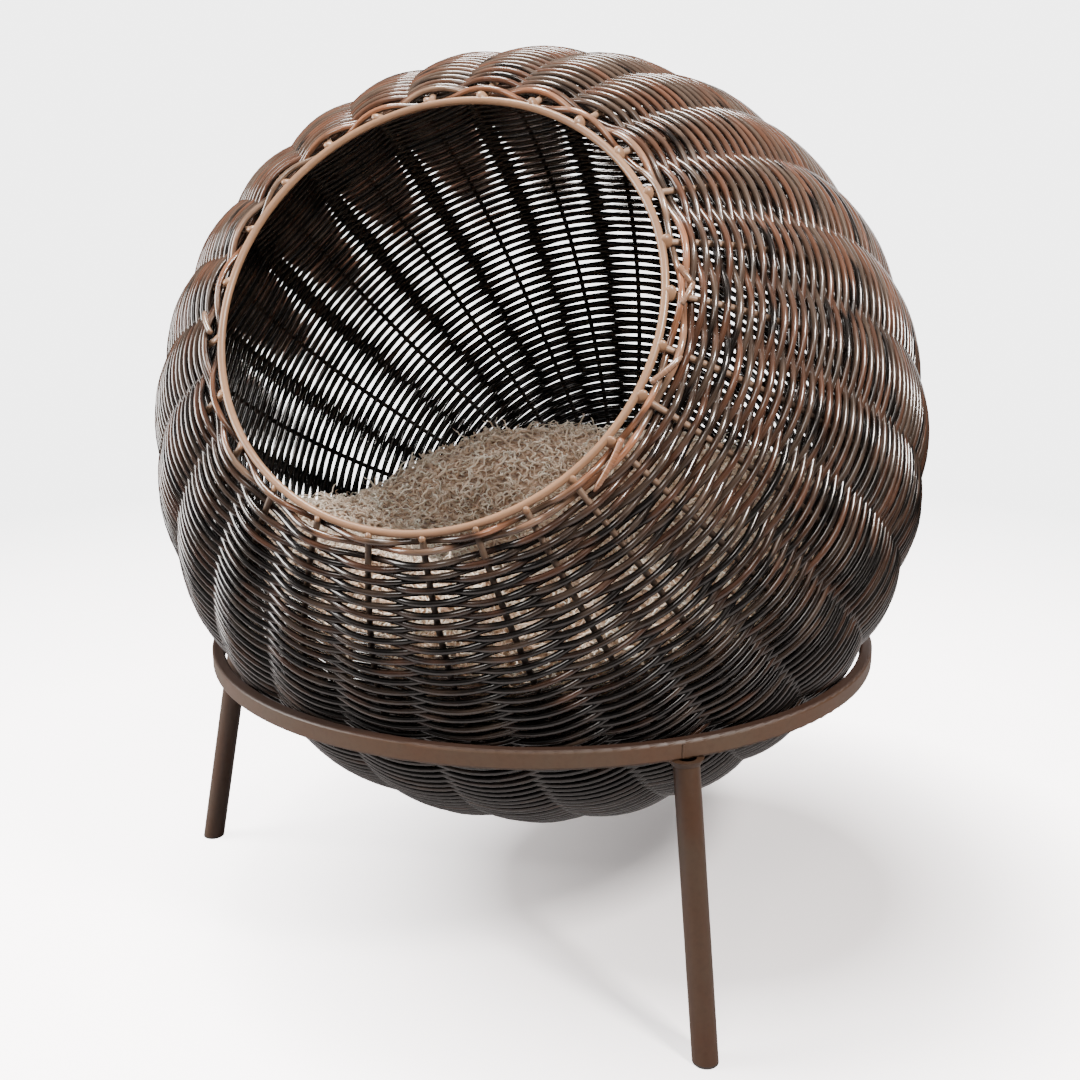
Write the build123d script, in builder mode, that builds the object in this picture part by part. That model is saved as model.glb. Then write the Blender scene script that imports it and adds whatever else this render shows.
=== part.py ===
"""Ball-shaped wicker pet bed on a three-legged steel stand, in millimetres.

+Z is up and the origin is on the floor under the centre of the ball.
The mouth of the basket faces -Y and is tilted upwards.
"""

import os
from math import asin, cos, degrees, radians, sin, sqrt

from build123d import *

# ---- driving dimensions -------------------------------------------------------------------
BALL_R = 250.0  # outside of the weave
BALL_Z = 308.0  # height of the ball's centre
MOUTH_TILT = 29.4  # degrees that the mouth's axis rises above level
MOUTH_R = 123.3  # mouth, to the middle of the rim rod

STRAND_D = 3.5  # round weaving strand
RIB_D = 3.5  # steel wire rib
RIM_D = 4.2  # steel rod round the mouth
RIB_COUNT = 26
RIB_FIRST = 2.7  # degrees from the top of the mouth to the first rib
RIB_DRIFT = 10.5  # degrees that the lowest ribs are out of even spacing
RIB_DRIFT_FROM = 20.0  # degrees round the mouth where the ribs are not out at all
WELD_R = 3.3  # weld bead round each rib's end, at its middle
WELD_L = 4.4
WELD_TAPER = 30.0  # degrees
WELD_SET_BACK = 0.3  # from the bead's middle to the end of the rib

ZONE_EDGES = (33.5, 56.0, 82.0, 110.0, 140.0, 172.6)  # degrees from the mouth's axis
BORDER_ANGLES = (32.0, 32.95)  # the two single strands next to the rim
HUB_ANGLE = 173.7  # edge of the plate at the back, degrees from the mouth's axis
HUB_T = 4.0

RING_OUT_R = 223.2
RING_W = 8.0
RING_H = 11.5
RING_EDGE_R = 1.8
RING_TOP = 181.6  # height of the hoop's top face
SEAM_ANGLE = 308.0  # where the hoop's two ends are welded together
SEAM_W = 1.6
SEAM_H = RING_H - 2 * RING_EDGE_R

LEG_D = 15.0
LEG_WALL = 1.5
LEG_ANGLES = (309.0, 69.0, 189.0)
FOOT_R = 252.0  # circle through the middle of the feet
PLUG_H = 1.6  # what shows of the plastic plug in the end of each leg
PLUG_STEM_L = 12.0
PLUG_CHAMFER = 0.5
LEG_WELD_H = 4.6  # weld bead round each leg's top
LEG_WELD_FOOT_R = 7.8
LEG_WELD_R = 10.6
BALL_CLEAR = 0.5  # least room between the ball and the legs' welds

PAD_TILT = 5.0  # degrees that the cushion leans up towards the back
PAD_R = 237.4  # its underside follows the bowl
PAD_EDGE_Z = -62.0  # widest part, from the ball's centre along the cushion's axis
PAD_CREST_R = 196.0
PAD_CREST_Z = -40.0
PAD_DISH_Z = -118.0  # middle of the hollow on top
PANEL_T = 5.0  # cover panels

GAP = 0.1  # room between pieces of the basket
SKIN_GAP = 0.2  # room between the cushion's layers

# ---- frames -------------------------------------------------------------------------------
ball_centre = Vector(0, 0, BALL_Z)
side = Vector(1, 0, 0)
mouth_dir = Vector(0, -cos(radians(MOUTH_TILT)), sin(radians(MOUTH_TILT)))
mouth_up = Vector(0, sin(radians(MOUTH_TILT)), cos(radians(MOUTH_TILT)))
mouth_axis = Axis(ball_centre, mouth_dir)
pad_up = Vector(0, -sin(radians(PAD_TILT)), cos(radians(PAD_TILT)))
pad_axis = Axis(ball_centre, pad_up)

rib_r = BALL_R - STRAND_D - RIB_D / 2 - GAP
rim_angle = degrees(asin(MOUTH_R / rib_r))
ring_bottom = RING_TOP - RING_H
ring_mid_r = RING_OUT_R - RING_W / 2


def around_mouth(angle):
    """Direction square to the mouth's axis, at an angle from the top towards +X."""
    return mouth_up * cos(radians(angle)) + side * sin(radians(angle))


def meridian(angle):
    """Plane through the mouth's axis: local X is outwards, local Y towards the mouth."""
    out = around_mouth(angle)
    return Plane(origin=ball_centre, x_dir=out, z_dir=out.cross(mouth_dir))


def rib_angle(index):
    """Where a rib stands round the mouth: the lower ones crowd to one side."""
    even = RIB_FIRST + index * 360 / RIB_COUNT
    share = (1 - cos(radians(even - RIB_DRIFT_FROM))) / 2
    return even - RIB_DRIFT * share**2


def finish(piece, name):
    """Names a finished piece and writes its file."""
    piece.part.label = name
    export_step(piece.part, f"parts/{name}.step")


def shell_outline(inner_r, outer_r, first, last):
    """Outline of a spherical band between two angles from the local Y axis."""
    with BuildLine() as outline:
        outer = CenterArc((0, 0), outer_r, 90 - last, last - first)
        inner = CenterArc((0, 0), inner_r, 90 - last, last - first)
        Line(outer @ 0, inner @ 0)
        Line(outer @ 1, inner @ 1)
    return outline.edges()


os.makedirs("parts", exist_ok=True)

# ---- stand --------------------------------------------------------------------------------
ring_plane = Plane(origin=(0, 0, RING_TOP - RING_H / 2), x_dir=(1, 0, 0), z_dir=(0, -1, 0))

with BuildPart() as stand_ring:
    with BuildSketch(ring_plane):
        with Locations((ring_mid_r, 0)):
            RectangleRounded(RING_W, RING_H, RING_EDGE_R)
    revolve(axis=Axis.Z)
finish(stand_ring, "stand_ring")

# A thin ridge of weld across the hoop's outer face.
seam_dir = Vector(cos(radians(SEAM_ANGLE)), sin(radians(SEAM_ANGLE)), 0)
seam_plane = Plane(
    origin=seam_dir * RING_OUT_R + Vector(0, 0, RING_TOP - RING_H / 2),
    x_dir=seam_dir.cross(Vector(0, 0, 1)),
    z_dir=Vector(0, 0, 1),
)
with BuildPart() as ring_seam_weld:
    with BuildSketch(seam_plane.offset(-SEAM_H / 2)):
        Circle(SEAM_W / 2)
    extrude(amount=SEAM_H)
    add(stand_ring.part, mode=Mode.SUBTRACT)
finish(ring_seam_weld, "ring_seam_weld")

for number, angle in enumerate(LEG_ANGLES, start=1):
    outward = Vector(cos(radians(angle)), sin(radians(angle)), 0)
    top = outward * ring_mid_r + Vector(0, 0, ring_bottom)
    foot = outward * FOOT_R
    along = (top - foot).normalized()
    leg_len = (top - foot).length
    past = LEG_D  # the tube is made long and cut level at both ends
    foot_plane = Plane(origin=foot - along * past, x_dir=outward.cross(along), z_dir=along)

    with BuildPart() as leg:
        with BuildSketch(foot_plane):
            Circle(LEG_D / 2)
            Circle(LEG_D / 2 - LEG_WALL, mode=Mode.SUBTRACT)
        extrude(amount=leg_len + 2 * past)
        split(bisect_by=Plane.XY.offset(ring_bottom), keep=Keep.BOTTOM)
        split(bisect_by=Plane.XY.offset(PLUG_H), keep=Keep.TOP)
    finish(leg, f"leg_{number}")

    with BuildPart() as plug:
        with BuildSketch(foot_plane):
            Circle(LEG_D / 2)
        extrude(amount=leg_len)
        split(bisect_by=Plane.XY.offset(PLUG_H), keep=Keep.BOTTOM)
        split(bisect_by=Plane.XY, keep=Keep.TOP)
        chamfer(plug.faces().sort_by(Axis.Z)[0].edges(), PLUG_CHAMFER)
        with BuildSketch(foot_plane.offset(past + PLUG_H)):
            Circle(LEG_D / 2 - LEG_WALL - GAP)
        extrude(amount=PLUG_STEM_L)
    finish(plug, f"foot_plug_{number}")

    weld_foot = top - along * (LEG_WELD_H + past)
    weld_plane = Plane(origin=weld_foot, x_dir=outward.cross(along), z_dir=along)
    weld_overshoot = LEG_WELD_H / 2  # the cone is made tall and cut level under the hoop
    weld_slope = (LEG_WELD_R - LEG_WELD_FOOT_R) / LEG_WELD_H
    with BuildPart() as bead:
        with BuildSketch(weld_plane.offset(past)):
            Circle(LEG_WELD_FOOT_R)
        with BuildSketch(weld_plane.offset(past + LEG_WELD_H + weld_overshoot)):
            Circle(LEG_WELD_R + weld_slope * weld_overshoot)
        loft()
        split(bisect_by=Plane.XY.offset(ring_bottom - GAP / 2), keep=Keep.BOTTOM)
        with BuildSketch(weld_plane):
            Circle(LEG_D / 2 + GAP / 2)
        extrude(amount=leg_len, mode=Mode.SUBTRACT)
        with Locations(ball_centre):
            Sphere(BALL_R + BALL_CLEAR, mode=Mode.SUBTRACT)
    finish(bead, f"leg_weld_{number}")

# ---- basket frame -------------------------------------------------------------------------
rim_point = (rib_r * sin(radians(rim_angle)), rib_r * cos(radians(rim_angle)))

with BuildPart() as rim_rod:
    with BuildSketch(meridian(0)):
        with Locations(rim_point):
            Circle(RIM_D / 2)
    revolve(axis=mouth_axis)
finish(rim_rod, "rim_rod")

with BuildPart() as rear_hub:
    with BuildSketch(meridian(0)):
        make_face(shell_outline(rib_r - HUB_T / 2, rib_r + HUB_T / 2, HUB_ANGLE, 180))
    revolve(axis=mouth_axis)
finish(rear_hub, "rear_hub_plate")

rib_start = rim_angle + degrees((RIM_D / 2 + GAP / 2) / rib_r)
rib_sweep = HUB_ANGLE - degrees(GAP / 2 / rib_r) - rib_start

for index in range(RIB_COUNT):
    out = around_mouth(rib_angle(index))
    start = mouth_dir * cos(radians(rib_start)) + out * sin(radians(rib_start))
    turn = mouth_dir.cross(out)
    section = Plane(origin=ball_centre + start * rib_r, x_dir=start, z_dir=turn.cross(start))
    with BuildPart() as rib:
        with BuildSketch(section):
            Circle(RIB_D / 2)
        revolve(axis=Axis(ball_centre, turn), revolution_arc=rib_sweep)
    finish(rib, f"rib_{index + 1:02d}")

# One bead joins each rib to the rim rod. All of them are one node of separate solids.
top_start = mouth_dir * cos(radians(rib_start)) + mouth_up * sin(radians(rib_start))
top_turn = mouth_dir.cross(mouth_up)
top_plane = Plane(
    origin=ball_centre + top_start * rib_r, x_dir=top_start, z_dir=top_turn.cross(top_start)
)
with BuildPart() as one_bead:
    with BuildSketch(top_plane.offset(WELD_SET_BACK)):
        Circle(WELD_R)
    extrude(amount=WELD_L / 2, both=True, taper=WELD_TAPER)
    with BuildSketch(top_plane):
        Circle(RIB_D / 2 + GAP / 2)
    extrude(amount=WELD_L, both=True, mode=Mode.SUBTRACT)
    with BuildSketch(meridian(0)):
        with Locations(rim_point):
            Circle(RIM_D / 2 + GAP / 2)
    revolve(axis=mouth_axis, mode=Mode.SUBTRACT)

with BuildPart() as rib_end_welds:
    for index in range(RIB_COUNT):
        add(one_bead.part.rotate(mouth_axis, -rib_angle(index)))
finish(rib_end_welds, "rib_end_welds")

# ---- weave --------------------------------------------------------------------------------
# A weaver passes outside one rib and inside the next, so the wall is two faces of strand
# with the ribs gripped between them. Each face is made in bands round the mouth's axis.
outer_face = (BALL_R - STRAND_D, BALL_R)
inner_face = (rib_r - RIB_D / 2 - GAP - STRAND_D, rib_r - RIB_D / 2 - GAP)
band_gap = degrees(GAP / BALL_R)

for layer, (near_r, far_r) in (("outer", outer_face), ("inner", inner_face)):
    for number in range(1, len(ZONE_EDGES)):
        first = ZONE_EDGES[number - 1] + band_gap
        last = ZONE_EDGES[number] - band_gap
        with BuildPart() as band:
            with BuildSketch(meridian(0)):
                make_face(shell_outline(near_r, far_r, first, last))
            revolve(axis=mouth_axis)
        finish(band, f"{layer}_weave_{number}")

for number, angle in enumerate(BORDER_ANGLES, start=1):
    strand_r = rib_r + (RIB_D + STRAND_D) / 2 + GAP
    with BuildPart() as strand:
        with BuildSketch(meridian(0)):
            with Locations((strand_r * sin(radians(angle)), strand_r * cos(radians(angle)))):
                Circle(STRAND_D / 2)
        revolve(axis=mouth_axis)
    finish(strand, f"border_strand_{number}")

# ---- cushion ------------------------------------------------------------------------------
pad_plane = Plane(origin=ball_centre, x_dir=(1, 0, 0), z_dir=side.cross(pad_up))
base_in_r = PAD_R - PANEL_T
MID_ARC = -0.75  # height of an arc's middle point, as a share of the bowl's radius


def bowl_point(radius, height):
    """Point of a bowl of this radius at a height from the ball's centre."""
    return (sqrt(radius**2 - height**2), height)


with BuildPart() as base_panel:
    with BuildSketch(pad_plane):
        with BuildLine():
            low_out = (0, -PAD_R)
            low_in = (0, -base_in_r)
            edge_out = bowl_point(PAD_R, PAD_EDGE_Z)
            edge_in = bowl_point(base_in_r, PAD_EDGE_Z)
            ThreePointArc(low_out, bowl_point(PAD_R, MID_ARC * PAD_R), edge_out)
            ThreePointArc(low_in, bowl_point(base_in_r, MID_ARC * base_in_r), edge_in)
            Line(low_out, low_in)
            Line(edge_out, edge_in)
        make_face()
    revolve(axis=pad_axis)
finish(base_panel, "cushion_base_panel")


def top_points(drop, edge):
    """The cushion's top lowered by drop: the dish, the crest and the edge."""
    return (0, PAD_DISH_Z - drop), (PAD_CREST_R, PAD_CREST_Z - drop), edge


top_tangents = ((1, 0), (0.2, -1))
seam_z = PAD_EDGE_Z + SKIN_GAP
seam_out = (bowl_point(PAD_R, PAD_EDGE_Z)[0], seam_z)
seam_in = (bowl_point(base_in_r, PAD_EDGE_Z)[0], seam_z)
with BuildPart() as top_panel:
    with BuildSketch(pad_plane):
        with BuildLine():
            crown = Spline(*top_points(0, seam_out), tangents=top_tangents)
            lining = Spline(*top_points(PANEL_T, seam_in), tangents=top_tangents)
            Line(crown @ 0, lining @ 0)
            Line(crown @ 1, lining @ 1)
        make_face()
    revolve(axis=pad_axis)
finish(top_panel, "cushion_top_panel")

fill_r = base_in_r - SKIN_GAP
fill_edge = bowl_point(fill_r, PAD_EDGE_Z)
with BuildPart() as filling:
    with BuildSketch(pad_plane):
        with BuildLine():
            under = ThreePointArc(
                (0, -fill_r), bowl_point(fill_r, MID_ARC * fill_r), fill_edge
            )
            over = Spline(*top_points(PANEL_T + SKIN_GAP, fill_edge), tangents=top_tangents)
            Line(under @ 0, over @ 0)
        make_face()
    revolve(axis=pad_axis)
finish(filling, "cushion_filling")
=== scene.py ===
"""Ball-shaped wicker pet bed on a ring stand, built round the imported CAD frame. Metres, +Z up."""

from math import atan2, cos, pi, radians, sin, sqrt

import bpy
import numpy as np
from mathutils import Matrix, Vector


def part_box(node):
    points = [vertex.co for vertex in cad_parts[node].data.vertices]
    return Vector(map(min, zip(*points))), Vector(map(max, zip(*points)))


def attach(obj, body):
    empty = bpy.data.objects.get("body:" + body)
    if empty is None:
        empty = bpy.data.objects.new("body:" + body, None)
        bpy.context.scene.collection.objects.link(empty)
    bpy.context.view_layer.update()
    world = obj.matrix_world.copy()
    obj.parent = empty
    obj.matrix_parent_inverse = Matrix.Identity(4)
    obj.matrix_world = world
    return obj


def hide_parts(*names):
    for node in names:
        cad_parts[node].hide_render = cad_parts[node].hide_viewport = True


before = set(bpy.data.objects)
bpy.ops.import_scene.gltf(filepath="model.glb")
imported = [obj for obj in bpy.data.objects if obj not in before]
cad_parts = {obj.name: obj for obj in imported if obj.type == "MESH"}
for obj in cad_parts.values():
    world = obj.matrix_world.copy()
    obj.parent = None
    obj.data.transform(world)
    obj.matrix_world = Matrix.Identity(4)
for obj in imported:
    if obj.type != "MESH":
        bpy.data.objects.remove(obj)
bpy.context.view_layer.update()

# ---- sizes shared with the CAD model ------------------------------------------------------
STRAND_D = 0.0035
RIB_D = 0.0035
RIM_D = 0.0042
GAP = 0.0001  # left between a rib and a strand
RIB_COUNT = 26
RIB_FIRST = 2.7  # degrees round the mouth, from its top towards +X
RIB_DRIFT = 10.5  # degrees by which the ribs close up under the mouth
RIB_DRIFT_FROM = 20.0
ZONE_EDGES = (33.5, 56.0, 82.0, 110.0, 140.0, 172.6)  # degrees from the mouth's axis
BORDER_ANGLES = (32.0, 32.95)  # the two strands at the rim, in the same degrees


def box(node):
    """Lowest and highest corner of a CAD node as numpy points."""
    low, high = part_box(node)
    return np.array(low, float), np.array(high, float)


# ---- places read from the frame -----------------------------------------------------------
rim_low, rim_high = box("rim_rod")
rim_mid = (rim_low + rim_high) / 2
rim_size = rim_high - rim_low
rim_r = (rim_size[0] - RIM_D) / 2
mouth_tilt = atan2(rim_size[1] - RIM_D, rim_size[2] - RIM_D)
side = np.array([1.0, 0.0, 0.0])
mouth_dir = np.array([0.0, -cos(mouth_tilt), sin(mouth_tilt)])
mouth_up = np.array([0.0, sin(mouth_tilt), cos(mouth_tilt)])
weave_low, weave_high = box("outer_weave_3")
ball_r = (weave_high[0] - weave_low[0]) / 2
rib_r = ball_r - STRAND_D - RIB_D / 2 - GAP
ball_centre = rim_mid - mouth_dir * sqrt(rib_r**2 - rim_r**2)
rim_angle = atan2(rim_r, sqrt(rib_r**2 - rim_r**2))


def rib_angle(number):
    """Degrees round the mouth of a rib, or of any place between two ribs."""
    even = RIB_FIRST + number * 360 / RIB_COUNT
    share = (1 - np.cos(np.radians(even - RIB_DRIFT_FROM))) / 2
    return even - RIB_DRIFT * share**2


# ---- mesh and material helpers ------------------------------------------------------------
def new_object(name, data):
    piece = bpy.data.objects.new(name, data)
    bpy.context.scene.collection.objects.link(piece)
    return piece


def mesh_object(name, verts, quads, tris=(), attributes=None, smooth=True):
    """An object from numpy points and faces. attributes maps a name to one vector a point."""
    mesh = bpy.data.meshes.new(name)
    verts = np.asarray(verts, np.float32).reshape(-1, 3)
    quads = np.asarray(quads, np.int32).reshape(-1, 4)
    tris = np.asarray(tris, np.int32).reshape(-1, 3)
    corners = np.concatenate([quads.ravel(), tris.ravel()])
    sizes = np.concatenate([np.full(len(quads), 4), np.full(len(tris), 3)])
    mesh.vertices.add(len(verts))
    mesh.vertices.foreach_set("co", verts.ravel())
    mesh.loops.add(len(corners))
    mesh.loops.foreach_set("vertex_index", corners)
    mesh.polygons.add(len(sizes))
    starts = np.concatenate([[0], np.cumsum(sizes)[:-1]])
    mesh.polygons.foreach_set("loop_start", starts.astype(np.int32))
    mesh.polygons.foreach_set("use_smooth", np.full(len(sizes), smooth))
    for key, values in (attributes or {}).items():
        layer = mesh.attributes.new(key, "FLOAT_VECTOR", "POINT")
        layer.data.foreach_set("vector", np.asarray(values, np.float32).ravel())
    mesh.update(calc_edges=True)
    mesh.validate()
    return new_object(name, mesh)


def unit(v):
    return v / np.linalg.norm(v, axis=-1, keepdims=True)


def tube(points, radius, across, sides, closed=False):
    """Points, quads and end triangles of a round tube along a path.

    across points roughly square to the path and keeps the tube from twisting.
    """
    count = len(points)
    if closed:
        ahead = np.roll(points, -1, 0) - np.roll(points, 1, 0)
    else:
        ahead = np.gradient(points, axis=0)
    ahead = unit(ahead)
    first = unit(across - ahead * np.sum(across * ahead, -1, keepdims=True))
    second = np.cross(ahead, first)
    turn = np.arange(sides) * 2 * pi / sides
    radius = np.broadcast_to(np.asarray(radius, float), (count,))
    ring = first[:, None] * np.cos(turn)[None, :, None]
    ring = ring + second[:, None] * np.sin(turn)[None, :, None]
    verts = points[:, None] + ring * radius[:, None, None]
    i = np.arange(count if closed else count - 1)[:, None]
    j = np.arange(sides)[None]
    nxt = (i + 1) % count
    quads = np.stack(
        [i * sides + j, i * sides + (j + 1) % sides, nxt * sides + (j + 1) % sides,
         nxt * sides + j], -1
    ).reshape(-1, 4)[:, ::-1]
    tris = []
    if not closed:
        fan = np.arange(1, sides - 1)
        low = np.stack([0 * fan, fan, fan + 1], -1)
        high = (count - 1) * sides + np.stack([0 * fan, fan + 1, fan], -1)
        tris = np.concatenate([low, high])
    return verts.reshape(-1, 3), quads, np.asarray(tris, int).reshape(-1, 3)


def lumps(points, rng, size, scale, waves=14):
    """Smooth random swelling at points, from waves in random directions."""
    total = np.zeros(points.shape[:-1])
    for _ in range(waves):
        way = unit(rng.normal(size=3))
        total += np.sin(points @ way * scale * rng.uniform(0.6, 1.6) + rng.random() * 2 * pi)
    return total / sqrt(waves) * size


def join(parts):
    """Several (points, quads, tris) as one."""
    verts, quads, tris, base = [], [], [], 0
    for points, q, t in parts:
        verts.append(points)
        quads.append(q + base)
        tris.append(t + base)
        base += len(points)
    return np.concatenate(verts), np.concatenate(quads), np.concatenate(tris)


class Nodes:
    """A short way to write a material's node tree."""

    def __init__(self, name):
        self.material = bpy.data.materials.new(name)
        self.material.use_nodes = True
        self.tree = self.material.node_tree
        self.shader = self.tree.nodes["Principled BSDF"]

    def add(self, kind, **inputs):
        node = self.tree.nodes.new(kind)
        for key, value in inputs.items():
            self.put(node.inputs[key.replace("_", " ")], value)
        return node

    def put(self, socket, value):
        if isinstance(value, bpy.types.NodeSocket):
            self.tree.links.new(value, socket)
        else:
            socket.default_value = value

    def attribute(self, name):
        node = self.add("ShaderNodeAttribute")
        node.attribute_name = name
        return node

    def noise(self, vector, scale, detail=3.0, rough=0.5):
        node = self.add("ShaderNodeTexNoise", Scale=scale, Detail=detail, Roughness=rough)
        self.put(node.inputs["Vector"], vector)
        return node.outputs["Fac"]

    def place(self):
        """The point in the object's own space."""
        return self.add("ShaderNodeTexCoord").outputs["Object"]

    def scaled(self, vector, factors):
        node = self.add("ShaderNodeVectorMath", Vector=vector)
        node.operation = "MULTIPLY"
        node.inputs[1].default_value = factors
        return node.outputs[0]

    def ramp(self, fac, stops):
        """Colour ramp: stops are (place, (r, g, b))."""
        node = self.add("ShaderNodeValToRGB", Fac=fac)
        points = node.color_ramp.elements
        while len(points) < len(stops):
            points.new(0.5)
        for point, (where, colour) in zip(points, stops):
            point.position = where
            point.color = (*colour, 1.0)
        return node.outputs["Color"]

    def fit(self, value, low, high, to_low, to_high):
        """The value, clamped to low and high, carried over to to_low and to_high."""
        node = self.add("ShaderNodeMapRange", Value=value)
        node.inputs["From Min"].default_value = low
        node.inputs["From Max"].default_value = high
        node.inputs["To Min"].default_value = to_low
        node.inputs["To Max"].default_value = to_high
        return node.outputs["Result"]

    def mix(self, fac, a, b):
        """Colour a where fac is 0, and b where it is 1."""
        node = self.tree.nodes.new("ShaderNodeMix")
        node.data_type = "RGBA"
        self.put(node.inputs[0], fac)
        self.put(node.inputs[6], a)
        self.put(node.inputs[7], b)
        return node.outputs[2]

    def math(self, how, a, b=0.0):
        node = self.tree.nodes.new("ShaderNodeMath")
        node.operation = how
        self.put(node.inputs[0], a)
        self.put(node.inputs[1], b)
        return node.outputs[0]

    def bump(self, height, distance, strength):
        node = self.add("ShaderNodeBump", Height=height, Distance=distance, Strength=strength)
        return node.outputs["Normal"]

    def finish(self, **inputs):
        """Sets the shader's sockets and gives the material back."""
        for key, value in inputs.items():
            if isinstance(value, tuple) and len(value) == 3:
                value = (*value, 1.0)
            self.put(self.shader.inputs[key.replace("_", " ")], value)
        return self.material


# ---- camera -------------------------------------------------------------------------------
CAM_AZIMUTH = 17.92  # degrees round from -Y towards +X
CAM_ELEVATION = 10.35
CAM_DISTANCE = 0.8988  # from the ball's centre
CAM_AIM = Vector((0.0039, -0.0160, -0.0634))  # from the ball's centre
CAM_ROLL = 0.16  # degrees
CAM_LENS = 44.51  # mm
SENSOR = 36.0  # mm


def make_camera():
    data = bpy.data.cameras.new("camera")
    data.lens = CAM_LENS
    data.sensor_width = SENSOR
    data.clip_start = 0.01
    camera = new_object("camera", data)
    around, up = radians(CAM_AZIMUTH), radians(CAM_ELEVATION)
    out = Vector((sin(around) * cos(up), -cos(around) * cos(up), sin(up)))
    centre = Vector(ball_centre)
    camera.location = centre + out * CAM_DISTANCE
    look = centre + CAM_AIM - camera.location
    turn = look.to_track_quat("-Z", "Y").to_matrix()
    turn = turn @ Matrix.Rotation(radians(-CAM_ROLL), 3, "Z")
    camera.rotation_euler = turn.to_euler()
    bpy.context.scene.camera = camera


make_camera()


# ---- weave --------------------------------------------------------------------------------
ROW_PITCH = 0.00348  # from one strand to the next along a rib
LOBE_STEPS = 8  # points along a strand from one rib to the next
STRAND_SIDES = 8
WAVE = (RIB_D + STRAND_D) / 2  # how far a strand swings out round a rib
INNER_SHARE = 0.85  # it swings in less, because the strands are pulled tight
LOBE_POWER = 0.85  # under 1 makes a strand's bends rounder than a sine
LOBE_SPREAD, LOBE_LIMIT = 0.055, 1.06  # how unevenly the strand swings out, as shares
ROW_SWAY, ROW_SHIFT = 0.00016, 0.00010  # along the ribs, within a row and between rows
STRAND_FULL, STRAND_SPREAD, STRAND_SWELL = 1.07, 0.025, 0.012  # radius, as shares of half STRAND_D
STRAND_LIMIT = 0.57  # largest radius, as a share of STRAND_D


# The stain, with painted shade low on the basket and inside it, and painted light high up. Heights
# are from the ball's centre.
LOW_FROM, LOW_TO = 0.03, -0.13  # where it gets darker: painted shade
LOW_GREY, LOW_DARK, LOW_SHADE = 0.22, 0.42, 0.62
HIGH_FROM, HIGH_TO = -0.02, 0.17  # where it gets lighter: painted light
HIGH_DARK, HIGH_LIGHT = 0.32, 1.0
TONE_WANDER, LIGHT_WANDER = 0.30, 0.22  # along one strand
TONE_SPREAD, LIGHT_SPREAD = 0.10, 0.07  # from one strand to the next
INSIDE_SHADE, INSIDE_FROM = 0.75, 0.25  # painted shade on the stretches that pass inside the ribs
INWARD_DARK = 0.8  # painted shade on the side of each strand that faces the ball's centre
INWARD_GAIN, INWARD_FROM = 1.4, 0.35
GRAIN_APART = 40.0  # how far one strand's grain lies from the next one's, at most


def on_ball(angle_from_mouth, around, radius):
    """Points by angle from the mouth's axis, angle round it and distance from the centre."""
    out = mouth_up * np.cos(around)[..., None] + side * np.sin(around)[..., None]
    ray = mouth_dir * np.cos(angle_from_mouth)[..., None]
    ray = ray + out * np.sin(angle_from_mouth)[..., None]
    return ball_centre + ray * radius[..., None], ray


def wander(rng, places, size, waves):
    """A slow random drift that closes on itself, for places from 0 to 1 round the basket."""
    total = np.zeros_like(places)
    for _ in range(waves):
        turns = rng.integers(1, 9)
        total += np.sin(2 * pi * (turns * places + rng.random())) / sqrt(turns)
    return total * size


def strand_row(rng, polar, sign):
    """One strand round the basket, over and under the ribs in turn.

    Gives the tube, and its tint and grain at each point. The grain is the point along and
    across the strand, so that the mottling follows it.
    """
    steps = RIB_COUNT * LOBE_STEPS
    number = np.arange(steps) / LOBE_STEPS
    around = np.radians(rib_angle(number))
    share = number / RIB_COUNT
    lift = rng.normal(1.0, LOBE_SPREAD, RIB_COUNT)
    lift = np.interp(number, np.arange(RIB_COUNT + 1), np.append(lift, lift[0]))
    lift = np.minimum(lift, LOBE_LIMIT)
    wave = sign * np.cos(pi * number)
    bulge = np.abs(wave) ** LOBE_POWER * np.sign(wave)
    radius = rib_r + WAVE * lift * np.where(bulge > 0, bulge, bulge * INNER_SHARE)
    sway = wander(rng, share, ROW_SWAY, 4) + rng.normal(0, ROW_SHIFT)
    points, ray = on_ball(polar + sway / rib_r, around, radius)
    full = rng.normal(STRAND_FULL, STRAND_SPREAD) + wander(rng, share, STRAND_SWELL, 4)
    thick = np.minimum(STRAND_D / 2 * full, STRAND_D * STRAND_LIMIT)
    across = np.cross(np.roll(points, -1, 0) - np.roll(points, 1, 0), ray)
    part = tube(points, thick, unit(across), STRAND_SIDES, True)
    length = np.cumsum(np.linalg.norm(np.diff(points, axis=0, append=points[:1]), axis=1))
    turn = np.arange(STRAND_SIDES) * 2 * pi / STRAND_SIDES
    grain = np.zeros((steps, STRAND_SIDES, 3))
    grain[..., 0] = length[:, None]
    grain[..., 1] = np.cos(turn)[None] * STRAND_D / 2
    grain[..., 2] = np.sin(turn)[None] * STRAND_D / 2
    grain += rng.random(3) * GRAIN_APART
    tint = strand_tint(rng, share, bulge, points).repeat(STRAND_SIDES, 0)
    # painted shade on the side of each strand that faces the ball's centre, and in the gaps between
    # strands
    depth = radius.repeat(STRAND_SIDES) - np.linalg.norm(part[0] - ball_centre, axis=1)
    inward = np.clip(INWARD_GAIN * depth / (STRAND_D / 2) + INWARD_FROM, 0, 1)
    tint[:, 1] += INWARD_DARK * inward
    tint[:, 2] *= 1 - inward
    return part, tint, grain.reshape(-1, 3)


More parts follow.
